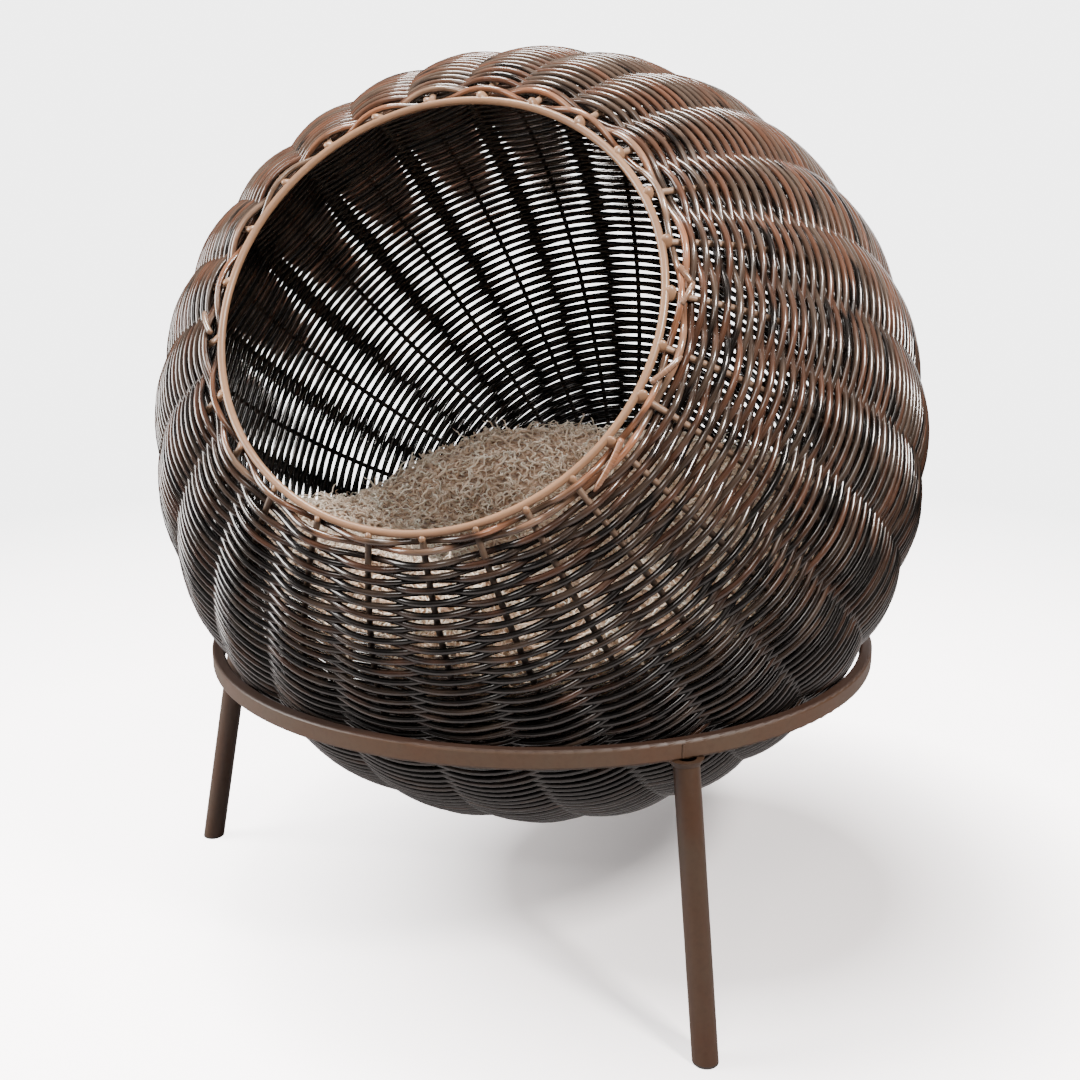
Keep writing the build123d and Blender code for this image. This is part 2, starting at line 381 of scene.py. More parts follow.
def strand_tint(rng, share, bulge, points):
    """Three tones for each point: towards taupe, towards dark and how light, from 0 to 1.

    Painted shade darkens it low on the basket and on the stretches inside the ribs; painted light
    lightens it high up.
    """
    grey = 0.5 + wander(rng, share * 3, TONE_WANDER, 7) + rng.normal(0, TONE_SPREAD)
    dark = 0.5 + wander(rng, share * 4, TONE_WANDER, 7) + rng.normal(0, TONE_SPREAD)
    light = 0.5 + wander(rng, share * 7, LIGHT_WANDER, 7) + rng.normal(0, LIGHT_SPREAD)
    height = points[:, 2] - ball_centre[2]
    # painted shade low on the basket, painted light high up
    low = np.clip((height - LOW_FROM) / (LOW_TO - LOW_FROM), 0, 1)
    high = np.clip((height - HIGH_FROM) / (HIGH_TO - HIGH_FROM), 0, 1)
    grey = grey + LOW_GREY * low
    dark = dark + LOW_DARK * low - HIGH_DARK * high
    light = np.clip(light, 0, 1) - LOW_SHADE * low + HIGH_LIGHT * high
    # painted shade on the stretches inside the ribs
    light = light * (1 - INSIDE_SHADE * np.clip(INSIDE_FROM - bulge, 0, 1))
    return np.stack([np.clip(grey, 0, 1), np.clip(dark, 0, 1), light], -1)


def build_weave():
    """Five bands of strands, from the border to the hub."""
    rng = np.random.default_rng(71)
    pieces = []
    row = 0
    for zone in range(len(ZONE_EDGES) - 1):
        first, last = np.radians(ZONE_EDGES[zone]), np.radians(ZONE_EDGES[zone + 1])
        count = int(round((last - first) * rib_r / ROW_PITCH))
        parts, tints, grains = [], [], []
        for index in range(count):
            polar = first + (index + 0.5) * (last - first) / count
            part, tint, grain = strand_row(rng, polar, 1 if row % 2 else -1)
            parts.append(part)
            tints.append(tint)
            grains.append(grain)
            row += 1
        verts, quads, tris = join(parts)
        number = zone + 1
        piece = mesh_object(
            f"weave_band_{number}", verts, quads, tris,
            {"tint": np.concatenate(tints), "grain": np.concatenate(grains)},
        )
        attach(piece, "basket")
        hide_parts(f"outer_weave_{number}", f"inner_weave_{number}")
        pieces.append(piece)
    return pieces


BORDER_PALE_AT = 130.0  # degrees round the mouth, where the border's strands are palest
BORDER_SHADE = 0.33  # how much darker they are on the other side
BORDER_PULL = 0.65  # degrees that the border is pulled in against the rim, under the mouth


def low_side(around):
    """1 under the mouth, falling to 0 a quarter turn away."""
    return np.clip(-np.cos(around), 0, 1) ** 2


def build_border():
    """The two pale strands next to the rim rod."""
    rng = np.random.default_rng(9)
    pieces = []
    place = np.radians(rib_angle(np.arange(RIB_COUNT * LOBE_STEPS) / LOBE_STEPS))
    shade = BORDER_SHADE * (1 - np.cos(place - radians(BORDER_PALE_AT)))
    pull = radians(BORDER_PULL) * low_side(place)
    for number, angle in enumerate(BORDER_ANGLES, start=1):
        part, tint, grain = strand_row(rng, radians(angle) - pull, 1 if number % 2 else -1)
        tint[:, 2] -= shade.repeat(STRAND_SIDES)
        piece = mesh_object(f"border_course_{number}", *part, {"tint": tint, "grain": grain})
        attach(piece, "basket")
        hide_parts(f"border_strand_{number}")
        pieces.append(piece)
    return pieces


# Cut ends of strands by the rim: start and end, each as degrees round the mouth, degrees
# from its axis and metres out from the ribs.
LOOSE_ENDS = (
    ((78.5, 31.7, 0.0036), (83.0, 33.2, 0.0044)),
    ((87.5, 32.0, 0.0036), (82.0, 33.4, 0.0046)),
    ((107.0, 31.0, 0.0036), (99.0, 33.2, 0.0050)),
    ((121.0, 31.5, 0.0044), (133.0, 33.4, 0.0040)),
    ((262.0, 31.6, 0.0040), (268.5, 33.8, 0.0046)),
)
END_STEPS = 14  # points along one end
END_BOW = 0.0009  # how far it arches out between its two ends
END_R = STRAND_D * 0.46
END_TINT = (0.2, 0.9)  # towards dark, and how light


def build_loose_ends():
    """Short cut ends that stick out of the border."""
    rng = np.random.default_rng(47)
    parts, tints, grains = [], [], []
    for start, end in LOOSE_ENDS:
        t = np.linspace(0, 1, END_STEPS)
        around, polar, out = [a + (b - a) * t for a, b in zip(start, end)]
        out = out + END_BOW * np.sin(pi * t)
        points, ray = on_ball(np.radians(polar), np.radians(around), rib_r + out)
        taper = END_R * np.clip(4 * (1 - t) + 0.45, 0, 1)
        across = np.cross(np.gradient(points, axis=0), ray)
        parts.append(tube(points, taper, unit(across), STRAND_SIDES))
        count = END_STEPS * STRAND_SIDES
        tints.append(np.tile([rng.uniform(0.3, 0.8), *END_TINT], (count, 1)))
        grains.append(np.repeat(points, STRAND_SIDES, 0))
    verts, quads, tris = join(parts)
    ends = mesh_object(
        "loose_strand_ends", verts, quads, tris,
        {"tint": np.concatenate(tints), "grain": np.concatenate(grains)},
    )
    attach(ends, "basket")
    return ends


def wicker_material(name, rust, taupe, dark, lean):
    """Glossy stained strand, mottled along its length. A higher lean gives more dark."""
    m = Nodes(name)
    tint = m.add("ShaderNodeSeparateXYZ", Vector=m.attribute("tint").outputs["Vector"])
    grain = m.attribute("grain").outputs["Vector"]
    blotch = m.noise(m.scaled(grain, (42.0, 70.0, 70.0)), 1.0, 4.0, 0.62)
    streak = m.noise(m.scaled(grain, (75.0, 1100.0, 1100.0)), 1.0, 2.0, 0.5)
    to_taupe = m.fit(m.math("ADD", tint.outputs["X"], blotch), 0.72, 1.28, 0.0, 1.0)
    colour = m.mix(to_taupe, rust, taupe)
    stain = m.noise(m.scaled(grain, (30, 90, 90)), 1.0, 3.0)
    to_dark = m.fit(m.math("ADD", tint.outputs["Y"], stain), 1.12 - lean, 1.42 - lean, 0.0, 1.0)
    colour = m.mix(to_dark, colour, dark)
    # tint's third place carries the painted light and shade from strand_tint; it scales the colour
    # here
    shade = m.fit(m.math("ADD", tint.outputs["Z"], streak), 0.1, 2.9, 0.10, 3.30)
    tone = m.add("ShaderNodeVectorMath", Vector=colour)
    tone.operation = "SCALE"
    m.put(tone.inputs["Scale"], shade)
    rough = m.fit(streak, 0.3, 0.7, 0.20, 0.33)
    height = m.noise(m.scaled(grain, (90.0, 1400.0, 1400.0)), 1.0, 2.0, 0.5)
    return m.finish(
        Base_Color=tone.outputs[0], Roughness=rough, Specular_IOR_Level=0.30,
        Specular_Tint=(1.0, 0.90, 0.84), Coat_Weight=0.9, Coat_Roughness=0.09,
        Normal=m.bump(height, 0.00010, 0.5),
    )


weave = build_weave()
border = build_border()
wicker = wicker_material(
    "wicker", rust=(0.047, 0.0205, 0.0118, 1), taupe=(0.034, 0.0220, 0.0155, 1),
    dark=(0.0035, 0.0025, 0.002, 1), lean=0.0,
)
pale_wicker = wicker_material(
    "pale_wicker", rust=(0.165, 0.070, 0.036, 1), taupe=(0.135, 0.082, 0.053, 1),
    dark=(0.035, 0.017, 0.011, 1), lean=-0.05,
)
for piece in weave:
    piece.data.materials.append(wicker)
for piece in border + [build_loose_ends()]:
    piece.data.materials.append(pale_wicker)


# ---- painted steel ------------------------------------------------------------------------
# painted shade in a rusty hue, for the faces that look up
RUST_AND_SHADE = (0.030, 0.0115, 0.0055, 1)
ORANGE_PEEL = (900.0, 0.00006, 0.5)  # scale, depth and strength of the paint's fine bumps


def painted_steel(name, colour, worn, fleck_scale=350.0, rough=0.42, dull_shaded_top=0.0):
    """Satin paint with faint mottling and a fine orange-peel surface.

    The last argument is how far the faces that look up are dulled and darkened, from 0 to 1: a
    rougher finish and painted shade in a rusty hue.
    """
    peel_scale, peel_depth, peel_strength = ORANGE_PEEL
    shaded = tuple(0.55 * c for c in colour[:3]) + (1,)
    m = Nodes(name)
    place = m.place()
    cloud = m.noise(place, 22.0, 4.0, 0.6)
    fleck = m.noise(place, fleck_scale, 2.0, 0.5)
    tone = m.mix(m.fit(cloud, 0.35, 0.68, 0.0, 1.0), colour, worn)
    tone = m.mix(m.fit(fleck, 0.45, 0.75, 0.0, 0.25), tone, shaded)
    facing = m.add("ShaderNodeNewGeometry").outputs["Normal"]
    up = m.add("ShaderNodeSeparateXYZ", Vector=facing).outputs["Z"]
    # faces that look up are rougher and take painted shade
    dull_and_shade = m.fit(m.math("ADD", up, m.fit(fleck, 0, 1, -0.1, 0.1)), 0.35, 0.85, 0.0, dull_shaded_top)
    even = m.fit(cloud, 0.3, 0.7, rough - 0.06, rough + 0.08)
    return m.finish(
        Base_Color=m.mix(dull_and_shade, tone, RUST_AND_SHADE),
        Roughness=m.math("ADD", even, m.fit(dull_and_shade, 0, 1, 0.0, 0.22)), Specular_IOR_Level=0.45,
        Normal=m.bump(m.noise(place, peel_scale, 2.0), peel_depth, peel_strength),
    )


RIB_PALE_Z = (ball_centre[2] - 0.02, ball_centre[2] + 0.06)  # painted shade on the ribs below these heights
RIB_PALE_AT, RIB_DARK_AT = 37, 47  # degrees from the mouth's axis; painted shade on the ribs deeper than these


def rib_steel():
    """The ribs' tan paint near the rim, with painted shade deeper in the weave and low down."""
    peel_scale, peel_depth, peel_strength = ORANGE_PEEL
    m = Nodes("rib_paint")
    place = m.place()
    reach = m.add("ShaderNodeVectorMath", Vector=place)
    reach.operation = "DOT_PRODUCT"
    reach.inputs[1].default_value = mouth_dir
    ahead = float(ball_centre @ mouth_dir)
    near = ahead + rib_r * cos(radians(RIB_PALE_AT))
    far = ahead + rib_r * cos(radians(RIB_DARK_AT))
    pale = m.fit(reach.outputs["Value"], far, near, 0.0, 1.0)
    height = m.add("ShaderNodeSeparateXYZ", Vector=place).outputs["Z"]
    high = m.fit(height, *RIB_PALE_Z, 0.1, 1.0)
    pale = m.math("MULTIPLY", pale, high)
    speck = m.noise(place, 500.0, 3.0, 0.6)
    # dark is painted shade; light is the ribs' own tan paint
    dark = m.mix(speck, (0.020, 0.012, 0.008, 1), (0.040, 0.024, 0.015, 1))
    light = m.mix(speck, (0.20, 0.115, 0.068, 1), (0.34, 0.21, 0.135, 1))
    return m.finish(
        Base_Color=m.mix(pale, dark, light), Roughness=m.fit(speck, 0.3, 0.7, 0.36, 0.5),
        Normal=m.bump(m.noise(place, peel_scale, 2.0), peel_depth, peel_strength),
    )


def dark_plastic():
    """The foot plugs' rough black plastic."""
    m = Nodes("cap_plastic")
    place = m.place()
    speck = m.noise(place, 1200.0, 2.0)
    colour = m.mix(m.noise(place, 60.0), (0.022, 0.018, 0.016, 1), (0.045, 0.037, 0.032, 1))
    return m.finish(
        Base_Color=colour, Roughness=m.fit(speck, 0.3, 0.7, 0.5, 0.7),
        Normal=m.bump(speck, 0.0001, 0.5),
    )


def paint(nodes, material):
    """Gives CAD nodes that stay in the picture their material."""
    for name in nodes:
        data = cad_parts[name].data
        data.materials.clear()
        data.materials.append(material)


# The legs and the ring are one paint: the legs' copy is darker, painted shade, and the ring's
# lighter, painted light.
leg_paint_shaded = painted_steel("leg_paint_shaded", (0.054, 0.0235, 0.0115, 1), (0.052, 0.030, 0.0175, 1))
# the ring's top faces, under the ball, take painted shade
ring_paint_lit = painted_steel(
    "ring_paint_lit", (0.078, 0.036, 0.0185, 1), (0.074, 0.046, 0.028, 1), dull_shaded_top=0.9
)
rib_paint = rib_steel()
rim_paint = painted_steel(
    "rim_paint", (0.34, 0.190, 0.107, 1), (0.245, 0.132, 0.073, 1), fleck_scale=500.0, rough=0.30
)
LEGS = (1, 2, 3)
paint(["stand_ring", "ring_seam_weld"], ring_paint_lit)
paint([f"leg_{number}" for number in LEGS], leg_paint_shaded)
paint([f"leg_weld_{number}" for number in LEGS], leg_paint_shaded)
paint([f"foot_plug_{number}" for number in LEGS], dark_plastic())
paint([f"rib_{number:02d}" for number in range(1, RIB_COUNT + 1)] + ["rear_hub_plate"], rib_paint)
paint(["rim_rod"], rim_paint)


def ball_mesh(around_count, up_count):
    """Unit sphere points and faces, poles on local Z."""
    lat = np.linspace(-pi / 2, pi / 2, up_count + 2)[1:-1]
    lon = np.arange(around_count) * 2 * pi / around_count
    ring = np.stack(
        [np.outer(np.cos(lat), np.cos(lon)), np.outer(np.cos(lat), np.sin(lon)),
         np.outer(np.sin(lat), np.ones(around_count))], -1
    )
    verts = np.concatenate([ring.reshape(-1, 3), [[0, 0, -1], [0, 0, 1]]])
    i = np.arange(up_count - 1)[:, None] * around_count
    j = np.arange(around_count)[None]
    k = (j + 1) % around_count
    quads = np.stack([i + j, i + k, i + around_count + k, i + around_count + j], -1)
    j, k = j[0], k[0]
    low, high = len(verts) - 2, len(verts) - 1
    last = (up_count - 1) * around_count
    tris = np.concatenate(
        [np.stack([np.full(around_count, low), k, j], -1),
         np.stack([np.full(around_count, high), last + j, last + k], -1)]
    )
    return verts, quads.reshape(-1, 4), tris


BEAD_HALF = np.array([0.0037, 0.0038, 0.0026])  # round the rim, away from it, out of the wall
BEAD_SPREAD = 0.09  # how unequal the beads are, as a share
BEAD_SHRINK = 0.32  # under the mouth, where the border hides the beads
BEAD_OFF = 0.0025  # from the rim rod's middle to the bead's
BEAD_OUT = 0.0006  # and out of the wall
BEAD_LUMPS, BEAD_LUMP_SCALE = 0.035, 3.0


def build_beads():
    """A rounded blob of weld where each rib meets the rim rod."""
    rng = np.random.default_rng(31)
    unit_ball, quads, tris = ball_mesh(14, 9)
    parts = []
    for number in range(RIB_COUNT):
        around = np.array(np.radians(rib_angle(number)))
        polar = np.array(rim_angle + BEAD_OFF / rib_r)
        middle, ray = on_ball(polar, around, np.array(rib_r + BEAD_OUT))
        ahead, _ = on_ball(polar, around + 0.01, np.array(rib_r))
        along = unit(ahead - middle)
        away = np.cross(ray, along)
        size = BEAD_HALF * rng.normal(1.0, BEAD_SPREAD, 3)
        size = size * (1 - BEAD_SHRINK * low_side(around))
        bumps = 1 + lumps(unit_ball, rng, BEAD_LUMPS, BEAD_LUMP_SCALE)[:, None]
        local = unit_ball * size * bumps
        parts.append((middle + local @ np.stack([along, away, ray]), quads, tris))
    beads = mesh_object("rim_weld_beads", *join(parts))
    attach(beads, "basket")
    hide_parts("rib_end_welds")
    beads.data.materials.append(rim_paint)


build_beads()


# ---- cushion ------------------------------------------------------------------------------
PAD_TILT = 5.0  # degrees, leaning up towards the back
PAD_R = 0.2374  # from the ball's centre to the cushion's underside
PAD_EDGE_Z = -0.062  # heights on the cushion's axis, from the ball's centre
PAD_CREST_R = 0.196
PAD_CREST_Z = -0.040
PAD_DISH_Z = -0.118
PAD_SLUMP = 0.038  # how far the crest has sunk on the side that has been sat on
PAD_SLUMP_AT = 165.0  # degrees round from +X
PAD_SLUMP_POWER = 10  # a higher power makes the sunk stretch shorter
PAD_SLUMP_FADE = 0.06  # below the edge, where the sinking ends
PAD_LUMPS, PAD_LUMP_SCALE = 0.0032, 38.0
PAD_TOP_FROM, PAD_TOP_FADE = -0.13, 0.05  # height where the lumpy top begins, and its fade
PAD_COLUMNS, PAD_TOP_ROWS, PAD_SIDE_ROWS = 120, 34, 30
PILE_H = 0.001  # the cover lies this far below the top of the CAD cushion
pad_up = np.array([0.0, -sin(radians(PAD_TILT)), cos(radians(PAD_TILT))])
pad_back = np.array([0.0, cos(radians(PAD_TILT)), sin(radians(PAD_TILT))])


def pad_point(r, around, height):
    """Point of the cushion by radius, angle round its axis from +X, and height on the axis."""
    out = side * np.cos(around)[..., None] + pad_back * np.sin(around)[..., None]
    return ball_centre + out * r[..., None] + pad_up * height[..., None]


def pad_profile(count_top, count_side):
    """Radius and height from the middle of the top, over the crest, to the pole below."""
    t = np.linspace(0, 1, count_top)
    r = PAD_CREST_R * t
    rise = PAD_CREST_Z - PAD_DISH_Z
    z = PAD_DISH_Z + rise * (3 * t**2 - 2 * t**3) ** 0.9
    edge_r = sqrt(PAD_R**2 - PAD_EDGE_Z**2)
    turn = np.linspace(0, pi / 2, 9)[1:]
    shoulder_r = PAD_CREST_R + (edge_r - PAD_CREST_R) * np.sin(turn)
    shoulder_z = PAD_EDGE_Z + (PAD_CREST_Z - PAD_EDGE_Z) * np.cos(turn)
    low = np.linspace(np.arcsin(PAD_EDGE_Z / PAD_R), -pi / 2, count_side)[1:]
    return (
        np.concatenate([r, shoulder_r, PAD_R * np.cos(low)]),
        np.concatenate([z, shoulder_z, PAD_R * np.sin(low)]),
    )


def slump(verts):
    """How far each point has sunk: most at the crest on one side, nothing under the crest."""
    offset = verts - ball_centre
    x, y = offset @ side, offset @ pad_back
    around = np.arctan2(y, x) - radians(PAD_SLUMP_AT)
    share = ((1 + np.cos(around)) / 2) ** PAD_SLUMP_POWER
    reach = np.clip(np.hypot(x, y) / PAD_CREST_R, 0, 1) ** 2
    above = np.clip((offset @ pad_up - PAD_EDGE_Z + PAD_SLUMP_FADE) / PAD_SLUMP_FADE, 0, 1)
    return PAD_SLUMP * share * reach * above


def keep_in_bowl(verts, limit):
    """Points no farther than limit from the ball's centre."""
    offset = verts - ball_centre
    distance = np.linalg.norm(offset, axis=-1, keepdims=True)
    return ball_centre + offset * np.minimum(1, limit / distance)


def read_points(mesh):
    flat = np.empty(len(mesh.vertices) * 3)
    mesh.vertices.foreach_get("co", flat)
    return flat.reshape(-1, 3)


def write_points(mesh, points):
    mesh.vertices.foreach_set("co", points.astype(np.float32).ravel())
    mesh.update()


PAD_VOXEL = 0.006
PAD_PRESSURE = 4.0
PAD_SIM_FRAMES = 20
PAD_SWELL_CAP = 0.008  # farthest that a point may move in the simulation
PAD_SWELL_CLEAR = 0.0005  # and how far it stays inside PAD_R


def inflate(cushion):
    """Fills the cover by a short cloth simulation and bakes the result into the mesh."""
    bpy.context.view_layer.objects.active = cushion
    remesh = cushion.modifiers.new("remesh", "REMESH")
    remesh.mode = "VOXEL"
    remesh.voxel_size = PAD_VOXEL
    bpy.ops.object.modifier_apply(modifier=remesh.name)
    start = read_points(cushion.data)
    cloth = cushion.modifiers.new("cloth", "CLOTH")
    cloth.settings.quality = 5
    cloth.settings.mass = 0.3
    cloth.settings.use_pressure = True
    cloth.settings.uniform_pressure_force = PAD_PRESSURE
    cloth.settings.tension_stiffness = 15
    cloth.settings.bending_stiffness = 2
    cloth.settings.effector_weights.gravity = 0
    cloth.point_cache.frame_end = PAD_SIM_FRAMES
    scene = bpy.context.scene
    for step in range(1, PAD_SIM_FRAMES + 1):
        scene.frame_set(step)
    bpy.ops.object.modifier_apply(modifier=cloth.name)
    scene.frame_set(1)
    moved = read_points(cushion.data) - start
    length = np.linalg.norm(moved, axis=1, keepdims=True)
    moved *= np.minimum(1, PAD_SWELL_CAP / np.maximum(length, 1e-9))
    write_points(cushion.data, start + moved)


def build_cushion():
    """One closed skin: a turned profile, sunk on one side, lumpy on top, then inflated."""
    rng = np.random.default_rng(5)
    r, z = pad_profile(PAD_TOP_ROWS, PAD_SIDE_ROWS)
    rows, cols = len(r) - 2, PAD_COLUMNS  # without the two poles
    around = np.arange(cols) * 2 * pi / cols
    grid = pad_point(
        np.repeat(r[1:-1, None], cols, 1), np.repeat(around[None], rows, 0),
        np.repeat(z[1:-1, None], cols, 1),
    )
    top = pad_point(r[:1], np.zeros(1), z[:1])
    low = pad_point(r[-1:] * 0, np.zeros(1), z[-1:])
    verts = np.concatenate([grid.reshape(-1, 3), top, low])
    swell = lumps(verts, rng, PAD_LUMPS, PAD_LUMP_SCALE)
    above = np.clip(((verts - ball_centre) @ pad_up - PAD_TOP_FROM) / PAD_TOP_FADE, 0, 1)
    drop = PILE_H * above + slump(verts) - swell * above
    verts = keep_in_bowl(verts - pad_up * drop[:, None], PAD_R)
    i = np.arange(rows - 1)[:, None]
    j = np.arange(cols)[None]
    quads = np.stack(
        [i * cols + j, (i + 1) * cols + j, (i + 1) * cols + (j + 1) % cols,
         i * cols + (j + 1) % cols], -1
    ).reshape(-1, 4)
    j = np.arange(cols)
    base = (rows - 1) * cols
    cap_top = np.stack([np.full(cols, rows * cols), j, (j + 1) % cols], -1)
    cap_low = np.stack([np.full(cols, rows * cols + 1), base + (j + 1) % cols, base + j], -1)
    cushion = mesh_object("cushion", verts, quads, np.concatenate([cap_top, cap_low]))
    inflate(cushion)
    inside = keep_in_bowl(read_points(cushion.data), PAD_R - PAD_SWELL_CLEAR)
    write_points(cushion.data, inside)
    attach(cushion, "cushion")
    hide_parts("cushion_top_panel", "cushion_base_panel", "cushion_filling")
    return cushion


PAD_LIFT = np.array([0, 0, 0.090])  # the pile also clears the bowl when the cushion is up
LOCK_COUNT = 8000
LOCK_STEPS = 11  # points along a lock
LOCK_SIDES = 3
LOCK_GROUPS = 4  # pieces that the locks are shared out to
LOCK_LOWEST, LOCK_FADE = -0.15, 0.02  # height from the ball's centre where the locks begin
LOCK_LENGTH = (0.010, 0.026)
LOCK_CURL = 1.1  # spread of the turn over a lock's length, in radians
LOCK_WAVE, LOCK_WAVE_LENGTH = (0.5, 1.25), (0.007, 0.013)  # radians and metres
LOCK_RISE = (0.0026, 0.0080)  # how high its middle stands off the skin
LOCK_STAND, LOCK_STAND_SHARE = (0.008, 0.015), 0.02  # the few that stand up
LOCK_RIPPLE = 0.0009
LOCK_SINK = 0.0008  # its root is this far under the skin
LOCK_R, LOCK_TAPER = (0.00050, 0.00105), 0.6
LOCK_REACH = PAD_R - 0.0012  # from the ball's centre
CLUMP, CLUMP_SCALE = 0.16, 70.0  # light and dark patches of the pile


def build_pile(cushion):
    """Wavy locks of pile lying over the cushion's top, a few of them standing up.

    Each has its tone in the tint's first place, and how far along it a point is in the second.
    """
    rng = np.random.default_rng(23)
    mesh = cushion.data
    mesh.calc_loop_triangles()
    count = len(mesh.loop_triangles)
    corners = np.empty(count * 3, np.int32)
    mesh.loop_triangles.foreach_get("vertices", corners)
    tri = read_points(mesh)[corners.reshape(-1, 3)]
    normal = np.cross(tri[:, 1] - tri[:, 0], tri[:, 2] - tri[:, 0])
    area = np.linalg.norm(normal, axis=1)
    normal = unit(normal)
    height = (tri.mean(1) - ball_centre) @ pad_up
    facing = np.clip(normal @ pad_up * 4 + 1.4, 0, 1)
    weight = area * np.clip((height - LOCK_LOWEST) / LOCK_FADE, 0, 1) * facing
    pick = rng.choice(count, LOCK_COUNT, p=weight / weight.sum())
    u, v = rng.random((2, LOCK_COUNT, 1))
    over = u + v > 1
    u, v = np.where(over, 1 - u, u), np.where(over, 1 - v, v)
    root = tri[pick, 0] * (1 - u - v) + tri[pick, 1] * u + tri[pick, 2] * v
    up = unit(normal[pick] + rng.normal(0, 0.08, (LOCK_COUNT, 3)))
    way = unit(np.cross(up, rng.normal(size=(LOCK_COUNT, 3))))
    other = np.cross(up, way)
    t = np.linspace(0, 1, LOCK_STEPS)[None]
    one = (LOCK_COUNT, 1)
    length = rng.uniform(*LOCK_LENGTH, one)
    curl = rng.normal(0, LOCK_CURL, one)
    heading = curl * t * 1.5 + rng.uniform(*LOCK_WAVE, one) * np.sin(
        2 * pi * (t * length / rng.uniform(*LOCK_WAVE_LENGTH, one) + rng.random(one))
    )
    step = length / (LOCK_STEPS - 1)
    along = np.cumsum(np.cos(heading), 1) * step
    across = np.cumsum(np.sin(heading), 1) * step
    stands = rng.random(one) < LOCK_STAND_SHARE
    stand = np.where(stands, rng.uniform(*LOCK_STAND, one), 0.0)
    rise = rng.uniform(*LOCK_RISE, one) * np.sin(t * pi * 0.66) + stand * t**1.3
    rise = rise + LOCK_RIPPLE * np.sin(2 * pi * (t * 2.2 + rng.random(one)))
    path = root[:, None] + way[:, None] * along[..., None] + other[:, None] * across[..., None]
    path = path + up[:, None] * (rise - LOCK_SINK)[..., None]
    path = keep_in_bowl(path, LOCK_REACH)
    path = keep_in_bowl(path + PAD_LIFT, LOCK_REACH) - PAD_LIFT
    ahead = unit(np.gradient(path, axis=1))
    first = unit(np.cross(ahead, up[:, None]) + 1e-9)
    second = np.cross(ahead, first)
    thick = rng.uniform(*LOCK_R, one) * (1 - LOCK_TAPER * t**3)
    psi = np.arange(LOCK_SIDES) * 2 * pi / LOCK_SIDES
    ring = first[:, :, None] * np.cos(psi)[:, None] + second[:, :, None] * np.sin(psi)[:, None]
    verts = path[:, :, None] + ring * thick[:, :, None, None]
    clump = lumps(root, rng, CLUMP, CLUMP_SCALE)[:, None, None]
    tone = np.clip(rng.random(one)[..., None] * 0.8 + 0.1 + clump, 0, 1)
    tone = tone * np.ones((1, LOCK_STEPS, LOCK_SIDES))
    reach = np.broadcast_to(t[..., None], tone.shape)
    tint = np.stack([tone, reach, np.zeros_like(tone)], -1)
    i = np.arange(LOCK_STEPS - 1)[:, None] * LOCK_SIDES
    j = np.arange(LOCK_SIDES)[None]
    k = (j + 1) % LOCK_SIDES
    skin = np.stack([i + j, i + LOCK_SIDES + j, i + LOCK_SIDES + k, i + k], -1).reshape(-1, 4)
    end = (LOCK_STEPS - 1) * LOCK_SIDES
    caps = np.array([[0, 1, 2], [end, end + 2, end + 1]])
    pieces = []
    for group in range(LOCK_GROUPS):
        members = np.arange(group, LOCK_COUNT, LOCK_GROUPS)
        base = np.arange(len(members))[:, None, None] * LOCK_STEPS * LOCK_SIDES
        piece = mesh_object(
            f"pile_{group + 1}", verts[members], skin[None] + base, caps[None] + base,
            {"tint": tint[members].reshape(-1, 3)},
        )
        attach(piece, "cushion")
        pieces.append(piece)
    return pieces


def pile_material():
    """Taupe at the root, cream at the curl's tip, each lock a little different."""
    m = Nodes("pile")
    tint = m.add("ShaderNodeSeparateXYZ", Vector=m.attribute("tint").outputs["Vector"])
    root = m.mix(tint.outputs["X"], (0.38, 0.245, 0.155, 1), (0.95, 0.71, 0.51, 1))
    tip = m.mix(tint.outputs["X"], (0.66, 0.46, 0.32, 1), (1.0, 0.94, 0.81, 1))
    colour = m.mix(m.fit(tint.outputs["Y"], 0.1, 0.7, 0.0, 1.0), root, tip)
    return m.finish(
        Base_Color=colour, Roughness=0.62, Sheen_Weight=0.35, Sheen_Roughness=0.4,
        Specular_IOR_Level=0.35,
    )


def fur_base_material():
    """The dense pile between the locks, painted on the cushion's skin."""
    m = Nodes("fur_base")
    place = m.place()
    swirl = m.noise(place, 260.0, 3.0, 0.6)
    tuft = m.add("ShaderNodeTexVoronoi", Vector=place, Scale=240.0).outputs["Distance"]
    colour = m.ramp(
        swirl,
        [(0.30, (0.17, 0.105, 0.067)), (0.5, (0.44, 0.29, 0.195)), (0.70, (0.74, 0.54, 0.39))],
    )
    return m.finish(
        Base_Color=colour, Roughness=0.85, Sheen_Weight=0.3, Specular_IOR_Level=0.2,
        Normal=m.bump(m.math("ADD", swirl, tuft), 0.003, 0.9),
    )


def base_cloth():
    """Plain-woven beige cotton under the cushion."""
    m = Nodes("base_cloth")
    place = m.place()
    warp = m.noise(m.scaled(place, (1500.0, 220.0, 220.0)), 1.0, 2.0)
    weft = m.noise(m.scaled(place, (220.0, 1500.0, 1500.0)), 1.0, 2.0)
    yarn = m.math("ADD", warp, weft)
    soil = m.noise(place, 14.0, 4.0, 0.6)
    cross = m.fit(yarn, 0.7, 1.3, 0.0, 1.0)
    thread = m.mix(cross, (0.30, 0.235, 0.175, 1), (0.47, 0.385, 0.30, 1))
    return m.finish(
        Base_Color=m.mix(m.fit(soil, 0.4, 0.75, 0.0, 0.35), thread, (0.24, 0.185, 0.14, 1)),
        Roughness=0.82, Sheen_Weight=0.25, Sheen_Roughness=0.5, Specular_IOR_Level=0.25,
        Normal=m.bump(yarn, 0.0004, 0.8),
    )


BASE_FACES_DOWN = -0.35  # a face is the base's when its normal's share of pad_up is less


